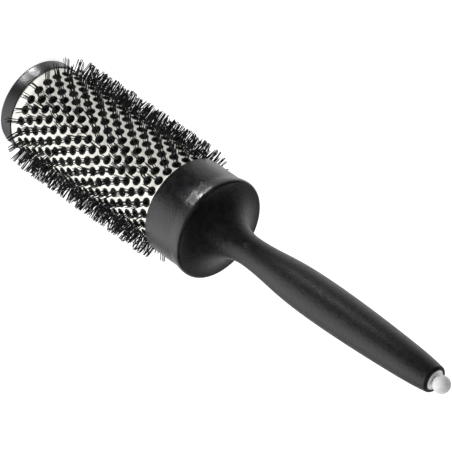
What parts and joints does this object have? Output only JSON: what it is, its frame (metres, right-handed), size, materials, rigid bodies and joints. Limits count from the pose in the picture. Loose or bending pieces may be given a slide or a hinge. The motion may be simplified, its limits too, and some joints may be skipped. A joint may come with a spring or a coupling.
{
  "type": "round hair brush",
  "caption": "Round hair brush with a perforated, tufted metal barrel, a flared collar, a swelling soft-skinned handle and a pick that pulls out of the handle's end.",
  "frame": {"origin": "on the brush axis, in the plane of the tip ring's flat end, so the brush stands on its tip", "axes": "+Z along the brush axis from the tip to the end of the handle; +X through the first axial row of tufts"},
  "size_m": [0.059, 0.059, 0.2711],
  "materials": {
    "ceramic_coated_barrel": "satin ceramic coat, ivory",
    "plug_plastic": "matte black",
    "bristle_nylon": "black nylon, slight sheen",
    "tip_plastic": "soft satin, dark grey",
    "collar_plastic": "soft satin, dark grey",
    "soft_grip": "soft-touch matte, dark grey",
    "inner_plastic": "moulded, black",
    "white_plastic": "gloss, white",
    "pearl_plastic": "pearl, semi-gloss, white",
    "steel": "plain, drawn"
  },
  "bodies": {
    "brush": {"barrel_tube": "ceramic_coated_barrel", "core_sleeve": "inner_plastic", "tip_ring": "tip_plastic", "tip_grille": "tip_plastic", "hub": "inner_plastic", "barrel_pins": "steel", "collar": "collar_plastic", "handle_core": "inner_plastic", "handle_grip": "soft_grip", "screw_washer": "steel", "handle_screw": "steel", "pick_bush": "white_plastic", "tuft_plugs_01": "plug_plastic", "tuft_plugs_02": "plug_plastic", "tuft_plugs_03": "plug_plastic", "tuft_plugs_04": "plug_plastic", "tuft_plugs_05": "plug_plastic", "tuft_plugs_06": "plug_plastic", "tuft_plugs_07": "plug_plastic", "tuft_plugs_08": "plug_plastic", "tuft_plugs_09": "plug_plastic", "tuft_plugs_10": "plug_plastic", "tuft_plugs_11": "plug_plastic", "tuft_plugs_12": "plug_plastic", "bristle_tufts_01": "bristle_nylon", "bristle_tufts_02": "bristle_nylon", "bristle_tufts_03": "bristle_nylon", "bristle_tufts_04": "bristle_nylon", "bristle_tufts_05": "bristle_nylon", "bristle_tufts_06": "bristle_nylon", "bristle_tufts_07": "bristle_nylon", "bristle_tufts_08": "bristle_nylon", "bristle_tufts_09": "bristle_nylon", "bristle_tufts_10": "bristle_nylon", "bristle_tufts_11": "bristle_nylon", "bristle_tufts_12": "bristle_nylon"},
    "pick": {"pick_shaft": "steel", "pick_ball": "pearl_plastic"}
  },
  "joints": [
    {"name": "pick_slide", "type": "slide", "parent": "brush", "child": "pick", "axis": [0, 0, 1], "range_m": [0, 0.07]}
  ]
}
